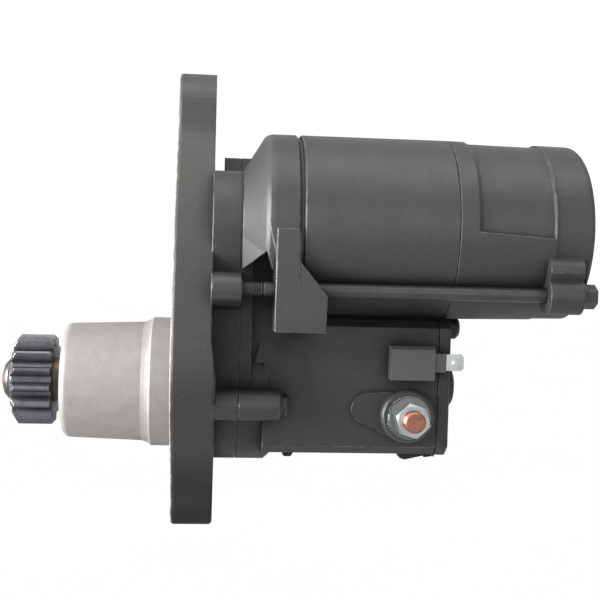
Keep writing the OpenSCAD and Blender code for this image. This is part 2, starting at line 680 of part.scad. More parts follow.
function unit(v) = v / norm(v);
module tube_along(pts, r, sides = 10) {
    n = len(pts);
    polyhedron(
        points = [for (i = [0:n - 1])
            let (t = unit(pts[min(i + 1, n - 1)] - pts[max(i - 1, 0)]),
                u = unit(cross(t, [1, 0.02, 0])), v = cross(t, u))
            for (k = [0:sides - 1]) pts[i] + r * (cos(k * 360 / sides) * u + sin(k * 360 / sides) * v)],
        faces = concat(
            [[for (k = [0:sides - 1]) k]],
            [[for (k = [sides - 1:-1:0]) (n - 1) * sides + k]],
            [for (i = [0:n - 2]) for (k = [0:sides - 1])
                [i * sides + k, (i + 1) * sides + k,
                    (i + 1) * sides + (k + 1) % sides, i * sides + (k + 1) % sides]]));
}

module motor_lead() color([0.5, 0.18, 0.12]) {
    tube_along(lead_points, lead_r);
    difference() {
        union() {
            rod_near(lead_y, 37.4, 7, stud_x, motor_stud_z);
            translate([stud_x - 4, 37.4, motor_stud_z]) cube([8, 2.2, 10.5]);
            translate([stud_x, 38.6, motor_stud_z + 9.3]) cylinder(h = 4, r = 3.7);
        }
        rod_near(45, 30, stud_r - 0.5, stud_x, motor_stud_z);
    }
}

// Direction from the motor axis to the grommet
grommet_tilt = -27.7;

module lead_grommet() color(black) translate([94, motor_y, motor_z])
    rotate([grommet_tilt - 90, 0, 0]) rotate_extrude() polygon([[lead_r + run_gap, 31.5],
        [5.2, 31.5], [5.2, yoke_r + 0.1], [6.6, yoke_r + 0.1], [6.6, 36.6], [4.6, 38.5],
        [lead_r + run_gap, 38.5]]);

conn_x0 = 83.5;
conn_x1 = 100.5;
blade_y = -33.4;         // far face of the blade
blade_t = 0.8;

module connector_block() color(plastic) difference() {
    union() {
        yz(conn_x0, conn_x1) polygon([[flat_y - run_gap, 6], [-36, 6], [-36, 17.8], [-34.9, 19.1],
            [flat_y - run_gap, 19.1]]);
        translate([conn_x1 - 1, -35.4, 9.2]) cube([5.4, 5.4, 7.2]);
    }
    translate([conn_x1 - 2, blade_y - blade_t, 9.8]) cube([10, blade_t, 6.3]);
}

module spade_terminal() color(zinc) translate([0, blade_y, 0]) rotate([90, 0, 0])
    linear_extrude(blade_t) difference() {
        polygon([[conn_x1 - 2, 9.8], [110.9, 9.8], [111.9, 10.8], [111.9, 15.1], [110.9, 16.1],
            [conn_x1 - 2, 16.1]]);
        translate([107.9, 12.95]) circle(0.9, $fn = 24);
    }

// ---------- gear train ----------

module idler_gear() color(steel) difference() {
    gear_x(gear_x0, gear_x1, idler_teeth, gear_m, idler_turn, idler_y, idler_z);
    rod_x(0, 40, 8.1, idler_y, idler_z);
}

module idler_rollers() color([0.75, 0.76, 0.78]) for (i = [0:11]) let (a = i * 30)
    rod_x(gear_x0 + 0.5, gear_x1 - 0.5, 1.5, idler_y + 6.58 * cos(a), idler_z + 6.58 * sin(a));

module idler_pin() color(steel) turn_x([[0, 2.5], [4.5, 2.5], [5, 3], [5, 29.5], [4.5, 30],
    [0, 30]], idler_y, idler_z);

roller_r = 3;
roller_ring = 16.6;

module clutch_gear() color(steel) difference() {
    union() {
        gear_x(gear_x0, gear_x1, clutch_teeth, gear_m, clutch_turn, 0, 0);
        rod_x(gear_x0, 29, 22.6);
        rod_x(29 - eps, 38.6, 15);
    }
    rod_x(0, 27, 17);
    for (a = [0:72:359]) rod_x(10.5, 26, roller_r + 0.3, roller_ring * cos(a), roller_ring * sin(a));
    rod_x(20, 40, 9);
}

module clutch_rollers() color([0.75, 0.76, 0.78]) for (a = [0:72:359])
    rod_x(11, 25.5, roller_r, roller_ring * cos(a), roller_ring * sin(a));

ball_x = 16;
ball_r = 4;
spline_r = 11.2;
spline_n = 10;

// Straight splines: ribs of the shaft, or the wider slots that they slide in
module spline_2d(root, tip, width) {
    circle(root);
    for (i = [0:spline_n - 1]) rotate(i * 360 / spline_n)
        translate([0, -width / 2]) square([tip, width]);
}

module clutch_inner() color([0.55, 0.56, 0.58]) difference() {
    union() {
        rod_x(-22, 10, 12.5);
        rod_x(gear_x0 + 0.3, 26.4, 13.5);
    }
    rod_x(-23, 30, 9 + run_gap);
    rod_x(-18, 6, spline_r + 0.25);
    rod_x(14, 30, spline_r + 0.25);
    yz(5.9, 14.1) spline_2d(9 + run_gap, spline_r + 0.15, 3.3);
}

module pinion_shaft() color(steel) difference() {
    union() {
        turn_x([[0, -67.9], [3.5, -67.6], [6.2, -66.7], [7.4, -65.6], [8, -64.2], [8, pinion_x1],
            [9, pinion_x1], [9, 23], [8.4, 23.6], [0, 23.6]]);
        yz(2, 23) spline_2d(8.9, spline_r, 3);
    }
    rod_x(ball_x - ball_r, 30, ball_r + 0.02);
    tube_x(-64.9, -64, 9, 7.2);
}

module steel_ball() color([0.85, 0.86, 0.88]) translate([ball_x, 0, 0]) sphere(ball_r, $fn = 32);

module return_spring() color(steel) spring_x(-17.9, 1.9, 10.1, 0.75, 5);

pinion_x0 = -62.6;
pinion_x1 = -47.2;

module pinion() color([0.34, 0.34, 0.36]) difference() {
    intersection() {
        gear_x(pinion_x0, pinion_x1, pinion_teeth, pinion_m, 90, 0, 0);
        turn_x([[0, pinion_x0], [15.4, pinion_x0], [18, pinion_x0 + 1.8], [18.1, pinion_x1 - 0.8],
            [17.2, pinion_x1], [0, pinion_x1]]);
    }
    rod_x(-70, -40, 8);
}

module pinion_snap_ring() color([0.3, 0.3, 0.32]) tube_x(-64.9, -64, 8.3, 7.2);

module pinion_stop_collar() color([0.45, 0.46, 0.48])
    difference() {
        turn_x([[8, -64], [9.4, -64], [10.2, -63.6], [10.2, pinion_x0], [8, pinion_x0]]);
        tube_x(-65, -63.7, 8.6, 7);
    }

// ---------- motor ----------

module armature_shaft() color(steel) {
    gear_x(gear_x0, gear_x1, armature_teeth, gear_m, armature_turn, motor_y, motor_z);
    turn_x([[0, 8], [4.4, 8], [5.3, 9], [5.3, 22.5], [7.5, 24.5], [7.5, 39.5], [9, 39.5],
        [9, 134], [6, 134], [6, 151], [0, 151]], motor_y, motor_z);
}

core_slots = 16;
core_x0 = 55;
core_x1 = 97;

module armature_core() color([0.5, 0.5, 0.52]) difference() {
    rod_x(core_x0, core_x1, 24, motor_y, motor_z);
    rod_x(50, 100, 9, motor_y, motor_z);
    for (i = [0:core_slots - 1]) translate([0, motor_y, motor_z]) rotate([i * 360 / core_slots, 0, 0])
        translate([50, 15, -1.8]) cube([60, 12, 3.6]);
}

module armature_winding() color(copper) {
    for (i = [0:core_slots - 1]) translate([0, motor_y, motor_z]) rotate([i * 360 / core_slots, 0, 0])
        translate([core_x0 - 1, 15.1, -1.7]) cube([core_x1 - core_x0 + 2, 8.2, 3.4]);
    tube_x(core_x0 - 8, core_x0 - 0.9, 22.5, 12, motor_y, motor_z);
    tube_x(core_x1 + 0.9, core_x1 + 9, 22, 12, motor_y, motor_z);
}

module commutator() color(copper) difference() {
    union() {
        rod_x(111, 132, 14, motor_y, motor_z);
        rod_x(108, 111.1, 17, motor_y, motor_z);
    }
    rod_x(100, 140, 9, motor_y, motor_z);
    for (i = [0:core_slots - 1]) translate([0, motor_y, motor_z]) rotate([i * 360 / core_slots, 0, 0])
        translate([107, 13.2, -0.4]) cube([27, 6, 0.8]);
}

module armature_front_bearing() color(steel)
    bearing_x(28, 39, 7.5 + run_gap, 17.5, 8, motor_y, motor_z);
module armature_rear_bearing() color(steel)
    bearing_x(143.5, 151.5, 6 + run_gap, 14, 8, motor_y, motor_z);

module yoke() color(paint) difference() {
    turn_x([[yoke_r - yoke_wall, yoke_x0], [yoke_r - 0.5, yoke_x0], [yoke_r, yoke_x0 + 0.5],
        [yoke_r, yoke_x1 - 0.3], [yoke_r - 0.3, yoke_x1], [yoke_r - yoke_wall, yoke_x1]],
        motor_y, motor_z);
    // Hole for the lead's grommet
    translate([94, motor_y, motor_z]) rotate([grommet_tilt - 90, 0, 0]) cylinder(h = 50, r = 5.2);
}

module yoke_o_rings() color(black) {
    tube_x(bell_end, yoke_x0, yoke_r - 1.1, yoke_r - yoke_wall, motor_y, motor_z);
}

pole_x0 = 55;
pole_x1 = 97;

// Part of a ring round the motor axis, between two angles
module sector_x(x0, x1, outer, inner, a0, a1) translate([0, motor_y, motor_z]) yz(x0, x1)
    polygon(concat(arc(0, 0, outer, a0, a1, 12), arc(0, 0, inner, a1, a0, 12)));

module pole_shoes() color([0.5, 0.5, 0.52]) for (i = [0:3]) let (a = 18 + i * 90) difference() {
    sector_x(pole_x0, pole_x1, yoke_r - yoke_wall - 0.05, 24.6, a - 27, a + 27);
    sector_x(pole_x0 - 1, pole_x1 + 1, 40, 27.6, a - 29, a - 17);
    sector_x(pole_x0 - 1, pole_x1 + 1, 40, 27.6, a + 17, a + 29);
}

module field_coils() color([0.55, 0.35, 0.2]) for (i = [0:3]) let (a = 18 + i * 90) {
    for (s = [-1, 1])
        sector_x(pole_x0, pole_x1, 31.2, 27.8, a + s * 24.2 - 6.5, a + s * 24.2 + 6.5);
    sector_x(pole_x0 - 2.6, pole_x0, 31.2, 27.8, a - 30.7, a + 30.7);
    sector_x(pole_x1, pole_x1 + 3.4, 31.2, 27.8, a - 30.7, a + 30.7);
}

brush_angles = [45, 135, 225, 315];
brush_x0 = 115;
brush_x1 = 128;

module brush_holder() color([0.75, 0.72, 0.62]) {
    tube_x(110.5, 112.5, 30.9, 18, motor_y, motor_z);
    for (a = brush_angles) translate([0, motor_y, motor_z]) rotate([a, 0, 0]) difference() {
        translate([112.4, 17, -6.2]) cube([17.2, 13, 12.4]);
        translate([brush_x0 - 0.3, 16, -5.3]) cube([brush_x1 - brush_x0 + 0.6, 12.6, 10.6]);
    }
}

module brushes() color([0.2, 0.19, 0.19]) for (a = brush_angles)
    translate([0, motor_y, motor_z]) rotate([a, 0, 0]) difference() {
        translate([brush_x0, 12, -5]) cube([brush_x1 - brush_x0, 12, 10]);
        translate([brush_x0 - 1, 0, 0]) rotate([0, 90, 0]) cylinder(h = 20, r = 14.25);
    }

module brush_springs() color(steel) for (a = brush_angles)
    translate([0, motor_y, motor_z]) rotate([a, 0, 0])
        translate([(brush_x0 + brush_x1) / 2, 0, 0]) rotate([0, 0, 90])
            spring_x(24.02, 28.58, 3.4, 0.4, 3, 0, 0);

// ---------- end cover ----------

cover_end_r = 34.4;
cover_lug_x0 = 138.7;
cover_lug_x1 = 151.6;

// Outer radius of the end cover at x
function cover_r(x) = yoke_r + (cover_end_r - yoke_r) * (x - yoke_x1) / (cover_x1 - yoke_x1);

module end_cover_body() turn_x(concat(
    [[0, yoke_x1], [yoke_r - 0.25, yoke_x1], [yoke_r, yoke_x1 + 0.3]],
    [for (a = [0:15:90]) [cover_end_r - 3.8 + 3.8 * cos(a), cover_x1 - 3.8 + 3.8 * sin(a)]],
    [[12.5, cover_x1], [11.5, cover_x1 + 1.8], [0, cover_x1 + 1.8]]), motor_y, motor_z);

panel_x0 = 112.6;
panel_x1 = 140.6;
panel_depth = 0.9;
rear_relief = 0.6;

module end_cover() color(paint) difference() {
    union() {
        difference() {
            end_cover_body();
            // Shallow panel on the upper near side
            intersection() {
                turn_x([[cover_r(panel_x0) + 3, panel_x0], [cover_r(panel_x0) + 0.4, panel_x0 - 2],
                    [cover_r(panel_x0) - panel_depth, panel_x0 + 0.5],
                    [cover_r(panel_x1) - panel_depth, panel_x1 - 0.6],
                    [cover_r(panel_x1) + 0.4, panel_x1 + 0.2], [cover_r(panel_x0) + 3, panel_x1]],
                    motor_y, motor_z);
                // Its lower edge slopes down towards the rear
                rotate([0, 3.5, 0]) translate([0, motor_y, motor_z + 5.4]) yz(100, 170)
                    polygon([[0, 0], [-50, 0], [-50, 50], [30, 50]]);
            }
            // Relief behind the panel, deepest below and fading upwards
            difference() {
                rod_x(panel_x1 + 0.4, cover_x1 + 5, 45, motor_y, motor_z);
                cone_x(panel_x1, cover_x1 + 6, cover_r(panel_x1), cover_r(cover_x1 + 6),
                    motor_y + rear_relief * 0.82, motor_z + rear_relief * 0.57);
            }
        }
        // Bolt lugs, the near one with a tall flat side
        for (p = [near_bolt, far_bolt]) yz(cover_lug_x0, cover_lug_x1)
            belt_2d(p, 6.9, (p + [motor_y, motor_z]) / 2, 9);
        yz(cover_lug_x0, cover_lug_x1) polygon(concat(
            arc(near_bolt[0] + 0.4, near_bolt[1] + 8.4, 6.5, 178, 100, 6),
            [[-40, 54], [-36, 40], near_bolt]));
        // Inward spigot
        rod_x(yoke_x1 - 3, yoke_x1 + 1, yoke_r - yoke_wall, motor_y, motor_z);
    }
    // Inside, with a boss for the rear bearing
    difference() {
        rod_x(100, 152.4, 28.6, motor_y, motor_z);
        rod_x(141.5, 154, 18, motor_y, motor_z);
    }
    difference() {
        rod_x(yoke_x1 + 0.5, 150, 31.3 - 0.3, motor_y, motor_z);
        rod_x(100, 160, 28.4, motor_y, motor_z);
    }
    rod_x(140, 151.5, 14, motor_y, motor_z);
    rod_x(130, 152.4, 7, motor_y, motor_z);
    for (p = [near_bolt, far_bolt]) {
        rod_x(130, 156, 2.9, p[0], p[1]);
        rod_x(cover_lug_x1, 160, 5.5, p[0], p[1]);
    }
    // Pocket in front of the near lug
    translate([130.6, near_bolt[0] - 10, near_bolt[1] - 14]) cube([8.2, 12, 11]);
}

module through_bolts() color([0.3, 0.3, 0.3]) for (p = [near_bolt, far_bolt]) {
    turn_x(concat([[0, bolt_x0], [bolt_r, bolt_x0], [bolt_r, seam_x]],
        [for (i = [0:7]) each [[bolt_r - 0.5, seam_x + i + 0.5], [bolt_r, seam_x + i + 1]]],
        [[bolt_r, cover_lug_x1 + 1], [0, cover_lug_x1 + 1]]), p[0], p[1]);
    turn_x([[0, cover_lug_x1], [5.3, cover_lug_x1], [5.3, cover_lug_x1 + 0.7],
        [4.6, cover_lug_x1 + 1.8], [0, cover_lug_x1 + 1.8]], p[0], p[1]);
    hex_x(cover_lug_x1 + 1.7, cover_lug_x1 + 5.8, 8, p[0], p[1]);
}

drive_housing();
nose_bearing();
nose_oil_seal();
clutch_front_bearing();
clutch_rear_bearing();
switch_case();
gear_case_gasket();
housing_screws();
drain_cap();
coil_bobbin();
coil_winding();
switch_core();
plunger();
plunger_rod();
contact_plate();
contact_insulator();
contact_spring();
fixed_contacts();
switch_end_cover();
cover_gasket();
cover_screws();
battery_stud();
terminal_insulator();
terminal_washers();
battery_nut();
motor_stud();
motor_stud_nut();
motor_lead();
lead_grommet();
connector_block();
spade_terminal();
idler_gear();
idler_rollers();
idler_pin();
clutch_gear();
clutch_rollers();
clutch_inner();
pinion_shaft();
pinion();
pinion_stop_collar();
pinion_snap_ring();
return_spring();
steel_ball();
armature_shaft();
armature_core();
armature_winding();
commutator();
armature_front_bearing();
armature_rear_bearing();
yoke();
yoke_o_rings();
pole_shoes();
field_coils();
brush_holder();
brushes();
brush_springs();
end_cover();
through_bolts();
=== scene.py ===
"""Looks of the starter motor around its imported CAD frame. Everything is in metres, in the CAD frame."""
import json
import math

import bpy
from mathutils import Matrix, Vector


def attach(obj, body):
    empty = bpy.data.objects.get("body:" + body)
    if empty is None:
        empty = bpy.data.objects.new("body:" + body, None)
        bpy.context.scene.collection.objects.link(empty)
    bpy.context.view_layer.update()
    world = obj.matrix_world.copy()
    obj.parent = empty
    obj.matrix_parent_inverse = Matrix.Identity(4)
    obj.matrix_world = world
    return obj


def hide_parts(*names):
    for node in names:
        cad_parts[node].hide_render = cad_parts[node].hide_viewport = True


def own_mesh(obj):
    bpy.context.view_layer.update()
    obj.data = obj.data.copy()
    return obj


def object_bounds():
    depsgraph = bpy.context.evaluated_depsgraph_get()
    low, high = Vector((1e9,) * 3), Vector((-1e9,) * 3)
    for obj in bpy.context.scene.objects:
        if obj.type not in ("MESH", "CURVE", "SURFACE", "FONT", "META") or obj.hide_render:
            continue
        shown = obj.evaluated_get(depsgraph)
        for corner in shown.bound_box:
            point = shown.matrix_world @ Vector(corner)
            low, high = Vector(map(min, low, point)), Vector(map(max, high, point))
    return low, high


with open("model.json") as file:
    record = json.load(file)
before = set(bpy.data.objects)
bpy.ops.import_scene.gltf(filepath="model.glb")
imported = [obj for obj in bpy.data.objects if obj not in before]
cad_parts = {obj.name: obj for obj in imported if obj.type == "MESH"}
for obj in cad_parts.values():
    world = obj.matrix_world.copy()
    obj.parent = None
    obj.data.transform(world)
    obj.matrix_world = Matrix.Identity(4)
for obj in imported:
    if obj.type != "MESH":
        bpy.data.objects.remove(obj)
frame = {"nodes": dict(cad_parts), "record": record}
CAD_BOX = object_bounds()
NODES = frame["nodes"]
MM = 0.001

# ---------- camera and lights ----------

CAMERA_AT = Vector((14, -420, 50)) * MM
NEAREST_SEEN = 10 * MM
LENS_MM = 61.5
SENSOR_MM = 36
YAW = math.radians(5.05)
PITCH = math.radians(-2.12)
ROLL = math.radians(1.56)

# Each soft light has its place, the point it faces, its two sides, its power in watts and its colour.
LIGHTS = {
    "top_soft": dict(at=(0.04, -0.17, 0.50), target=(0.05, -0.02, 0.05), size=(0.80, 0.40),
                     power=2.4, colour=(1, 0.985, 0.965)),
    "left_soft": dict(at=(-0.48, -0.15, 0.08), target=(0.03, -0.04, 0.05), size=(0.22, 0.34),
                      power=11.5, colour=(1, 1, 1.01)),
    "front_fill": dict(at=(0.16, -0.60, 0.16), target=(0.07, -0.04, 0.07), size=(0.50, 0.30),
                       power=1.1, colour=(0.99, 0.99, 1)),
}


def make_camera():
    data = bpy.data.cameras.new("camera")
    data.lens = LENS_MM
    data.sensor_width = SENSOR_MM
    data.clip_start = NEAREST_SEEN
    camera = bpy.data.objects.new("camera", data)
    bpy.context.scene.collection.objects.link(camera)
    forward = Vector((math.sin(YAW) * math.cos(PITCH), math.cos(YAW) * math.cos(PITCH), math.sin(PITCH)))
    turn = forward.to_track_quat("-Z", "Y").to_matrix().to_4x4()
    camera.matrix_world = Matrix.Translation(CAMERA_AT) @ turn @ Matrix.Rotation(ROLL, 4, "Z")
    bpy.context.scene.camera = camera


def area_light(name, at, target, size, power, colour):
    data = bpy.data.lights.new(name, "AREA")
    data.shape = "RECTANGLE"
    data.size, data.size_y = size
    data.energy = power
    data.color = colour
    light = bpy.data.objects.new(name, data)
    bpy.context.scene.collection.objects.link(light)
    light.location = at
    light.rotation_euler = (Vector(target) - Vector(at)).to_track_quat("-Z", "Y").to_euler()
    light.visible_camera = False


# ---------- node helpers ----------

BEVEL_SAMPLES = 4
NOOK_SHADE_SAMPLES = 8
FULL_EDGE = 1 / 6          # how far a rounded normal leans, as 1 - cos, where an edge counts as full


def fill(tree, slot, value):
    """Links a socket to an input, or sets a constant on it."""
    if isinstance(value, bpy.types.NodeSocket):
        tree.links.new(value, slot)
    elif slot.type == "RGBA":
        slot.default_value = (*value, 1.0)
    else:
        slot.default_value = value


def add(tree, kind, inputs=None, **settings):
    """Adds a shader node with its settings, and fills the inputs, which go by name or number."""
    node = tree.nodes.new("ShaderNode" + kind)
    for key, value in settings.items():
        setattr(node, key, value)
    for key, value in (inputs or {}).items():
        fill(tree, node.inputs[key], value)
    return node


def maths(tree, operation, a, b):
    return add(tree, "Math", {0: a, 1: b}, operation=operation).outputs[0]


def remap(tree, value, low, high, to_low=0.0, to_high=1.0):
    inputs = {"Value": value, "From Min": low, "From Max": high, "To Min": to_low, "To Max": to_high}
    return add(tree, "MapRange", inputs).outputs[0]


def blend_colour(tree, factor, a, b):
    return add(tree, "Mix", {0: factor, 6: a, 7: b}, data_type="RGBA").outputs[2]


def mix_shaders(tree, factor, a, b):
    return add(tree, "MixShader", {0: factor, 1: a, 2: b}).outputs[0]


def place(tree, stretch=(1, 1, 1)):
    """Object coordinates in millimetres, each axis times its stretch."""
    at = add(tree, "TexCoord").outputs["Object"]
    scale = tuple(s / MM for s in stretch)
    return add(tree, "VectorMath", {0: at, 1: scale}, operation="MULTIPLY").outputs[0]


def noise(tree, at, size_mm, detail=3, rough=0.5, distortion=0.0):
    inputs = {"Vector": at, "Scale": 1 / size_mm, "Detail": detail, "Roughness": rough}
    inputs["Distortion"] = distortion
    return add(tree, "TexNoise", inputs).outputs[0]


def rounded_normal(tree, radius_mm):
    return add(tree, "Bevel", {"Radius": radius_mm * MM}, samples=BEVEL_SAMPLES).outputs[0]


def edges(tree, radius_mm):
    """0 on open faces and up to 1 along outward and inward edges."""
    true = add(tree, "NewGeometry").outputs["True Normal"]
    match = add(tree, "VectorMath", {0: rounded_normal(tree, radius_mm), 1: true}, operation="DOT_PRODUCT")
    return remap(tree, maths(tree, "SUBTRACT", 1.0, match.outputs["Value"]), 0.0, FULL_EDGE)


def new_material(name):
    material = bpy.data.materials.new(name)
    material.use_nodes = True
    material.node_tree.nodes.clear()
    return material, material.node_tree


def surface(tree, colour, rough, metal, height, height_mm, edge_mm):
    """A Principled surface whose normal is rounded at edges and roughened by a bump height."""
    bump = {"Height": height, "Distance": height_mm * MM, "Normal": rounded_normal(tree, edge_mm)}
    normal = add(tree, "Bump", bump).outputs[0]
    inputs = {"Base Color": colour, "Roughness": rough, "Metallic": metal, "Normal": normal}
    return add(tree, "BsdfPrincipled", inputs).outputs[0]


# ---------- paint and bare aluminium ----------

PAINT_DARK = (0.021, 0.0203, 0.0195)
PAINT_LIGHT = (0.036, 0.035, 0.034)
# Painted shade: the colour the paint is darkened to low down.
PAINT_LOW_SHADE = (0.009, 0.0088, 0.0088)
# Painted shade: the colour the paint is darkened to in nooks and recesses.
PAINT_NOOK_SHADE = (0.004, 0.004, 0.004)
PAINT_SPECK = (0.075, 0.0735, 0.0705)
# Edge colour that is partly wear and partly a painted highlight.
PAINT_RUB_AND_HIGHLIGHT = (0.24, 0.24, 0.238)
PAINT_EDGE_MM = 0.8
RUB_AND_HIGHLIGHT_EDGE_MM = 0.45
LOW_SHADE_DARKEST_Z_MM = -45         # painted shade, darkest low down and thinning out upwards
LOW_SHADE_GONE_Z_MM = 70
MOST_LOW_SHADE = 0.75
NOOK_SHADE_REACH = 35 * MM

BARE_DARK = (0.165, 0.156, 0.149)
BARE_LIGHT = (0.250, 0.238, 0.228)
BARE_PIT = (0.11, 0.103, 0.097)
BARE_EDGE = (0.42, 0.41, 0.40)
BARE_METALLIC = 0.35

CAST_MM = 0.05             # height of the cast and painted texture
PAINT_FROM_X_MM = 0.25     # bare in front of this plane, painted behind the next
PAINT_FULL_X_MM = 0.55


def paint_shader(tree, at, grain_mm=0.9, grain_depth=0.6, rough=0.47):
    """Satin paint over casting grain, with painted shade low down and in nooks (rougher there too), and
    paler, glossier edges that are partly wear and partly a painted highlight.
    """
    edge = edges(tree, RUB_AND_HIGHLIGHT_EDGE_MM)
    # Edges are paled partly as wear and partly as a painted highlight.
    rub_and_highlight = maths(tree, "MULTIPLY", edge, remap(tree, noise(tree, at, size_mm=3.5), 0.38, 0.58))
    z = add(tree, "SeparateXYZ", {0: at}).outputs[2]
    # Painted shade: the paint gets darker towards the bottom.
    low_shade = remap(tree, z, LOW_SHADE_DARKEST_Z_MM, LOW_SHADE_GONE_Z_MM, to_low=MOST_LOW_SHADE, to_high=0.0)
    # Painted shade in nooks and recesses, from an occlusion mask.
    openness = add(tree, "AmbientOcclusion", {"Distance": NOOK_SHADE_REACH}, samples=NOOK_SHADE_SAMPLES).outputs["AO"]
    nook_shade = remap(tree, openness, 0.40, 0.97, to_low=1.0, to_high=0.0)
    speck = remap(tree, noise(tree, at, size_mm=0.7, detail=2, rough=0.6), 0.58, 0.76, to_high=0.45)

    drift = noise(tree, at, size_mm=14, detail=4, rough=0.55)
    colour = blend_colour(tree, drift, PAINT_DARK, PAINT_LIGHT)
    colour = blend_colour(tree, low_shade, colour, PAINT_LOW_SHADE)
    colour = blend_colour(tree, speck, colour, PAINT_SPECK)
    colour = blend_colour(tree, maths(tree, "MULTIPLY", rub_and_highlight, 0.9), colour, PAINT_RUB_AND_HIGHLIGHT)
    colour = blend_colour(tree, nook_shade, colour, PAINT_NOOK_SHADE)

    patches = noise(tree, at, size_mm=9, detail=3, rough=0.6)
    dullness = remap(tree, patches, 0.3, 0.7, rough - 0.05, rough + 0.07)
    dullness = maths(tree, "SUBTRACT", dullness, maths(tree, "MULTIPLY", edge, 0.14))
    dullness = maths(tree, "ADD", dullness, maths(tree, "MULTIPLY", nook_shade, 0.25))

    peel = maths(tree, "MULTIPLY", noise(tree, at, size_mm=1.6, detail=2), 0.6)
    grain = maths(tree, "MULTIPLY", noise(tree, at, grain_mm, rough=0.6), grain_depth)
    return surface(tree, colour, dullness, 0.0, maths(tree, "ADD", peel, grain), CAST_MM, PAINT_EDGE_MM)


def bare_shader(tree, at):
    """Bare cast aluminium: warm grey with sandy grain, darker pits and brighter edges."""
    grain = noise(tree, at, size_mm=0.45, rough=0.7)
    cloud = noise(tree, at, size_mm=6, detail=4, rough=0.6)
    colour = blend_colour(tree, cloud, BARE_DARK, BARE_LIGHT)
    colour = blend_colour(tree, remap(tree, grain, 0.56, 0.72, to_high=0.6), colour, BARE_PIT)
    colour = blend_colour(tree, maths(tree, "MULTIPLY", edges(tree, 0.5), 0.35), colour, BARE_EDGE)
    dullness = remap(tree, noise(tree, at, size_mm=2.5), 0.3, 0.7, 0.55, 0.70)
    sand = maths(tree, "MULTIPLY", noise(tree, at, size_mm=1.4, detail=2), 0.8)
    height = maths(tree, "ADD", grain, sand)
    return surface(tree, colour, dullness, BARE_METALLIC, height, CAST_MM, edge_mm=0.6)


def painted_material(name, **grain):
    material, tree = new_material(name)
    add(tree, "OutputMaterial", {0: paint_shader(tree, place(tree), **grain)})
    return material


def housing_material():
    """Paint behind the mounting face, and bare aluminium on the face, pilot and nose."""
    material, tree = new_material("housing_paint_and_bare_nose")
    at = place(tree)
    x = add(tree, "SeparateXYZ", {0: at}).outputs[0]
    wander = remap(tree, noise(tree, at, size_mm=5, detail=2), 0.3, 0.7, -0.25, 0.25)
    behind = remap(tree, maths(tree, "ADD", x, wander), PAINT_FROM_X_MM, PAINT_FULL_X_MM)
    add(tree, "OutputMaterial", {0: mix_shaders(tree, behind, bare_shader(tree, at), paint_shader(tree, at))})
    return material


# ---------- other metals and polymers ----------

METAL_MARK_MM = 0.02       # height of tool marks
POLYMER_GRAIN_MM = 0.03    # height of the mould texture
POLYMER_EDGE_MM = 0.3
EVEN = (1, 1, 1)           # marks run no special way
LATHE = (6, 0.5, 0.5)      # tool marks run round an axis along X
ALONG_X = (0.15, 4, 4)     # drawn or ground along X


def metal_material(name, light, dark, rough, marks=EVEN, mark_mm=1.0, mark_depth=0.5, edge_gain=0.5,
                   stain=(0.2, 0.18, 0.16), stain_amount=0.3, metal=1.0, edge_mm=0.25):
    """Bare or plated metal: tool marks along one direction, stains, and brighter edges."""
    material, tree = new_material(name)
    at = place(tree)
    lines = noise(tree, place(tree, marks), mark_mm, rough=0.6)
    cloud = noise(tree, at, size_mm=4, detail=4, rough=0.6)
    bright = tuple(min(1.0, c * 1.35) for c in light)
    colour = blend_colour(tree, lines, dark, light)
    colour = blend_colour(tree, remap(tree, cloud, 0.52, 0.75, to_high=stain_amount), colour, stain)
    colour = blend_colour(tree, maths(tree, "MULTIPLY", edges(tree, edge_mm), edge_gain), colour, bright)
    dullness = remap(tree, noise(tree, at, size_mm=1.5), 0.3, 0.7, rough - 0.06, rough + 0.08)
    deep = maths(tree, "MULTIPLY", lines, mark_depth)
    fine = maths(tree, "MULTIPLY", noise(tree, at, size_mm=0.3, detail=2), 0.3)
    shader = surface(tree, colour, dullness, metal, maths(tree, "ADD", deep, fine), METAL_MARK_MM, edge_mm)
    add(tree, "OutputMaterial", {0: shader})
    return material


def polymer_material(name, light, dark, rough, grain_mm=0.5, grain_depth=0.5):
    """Moulded plastic or rubber: fine mould texture, faint flow marks and dust on the edges."""
    material, tree = new_material(name)
    at = place(tree)
    flow = noise(tree, place(tree, (0.6, 1, 1.4)), size_mm=5, detail=4, rough=0.55, distortion=0.4)
    grain = noise(tree, at, grain_mm, rough=0.6)
    dust = tuple(0.6 * c + 0.08 for c in light)
    edge = maths(tree, "MULTIPLY", edges(tree, POLYMER_EDGE_MM), 0.3)
    colour = blend_colour(tree, flow, dark, light)
    colour = blend_colour(tree, remap(tree, grain, 0.60, 0.78, to_high=0.35), colour, dust)
    colour = blend_colour(tree, edge, colour, dust)
    dullness = remap(tree, flow, 0.3, 0.7, rough - 0.07, rough + 0.07)
    height = maths(tree, "MULTIPLY", grain, grain_depth)
    shader = surface(tree, colour, dullness, 0.0, height, POLYMER_GRAIN_MM, POLYMER_EDGE_MM)
    add(tree, "OutputMaterial", {0: shader})
    return material


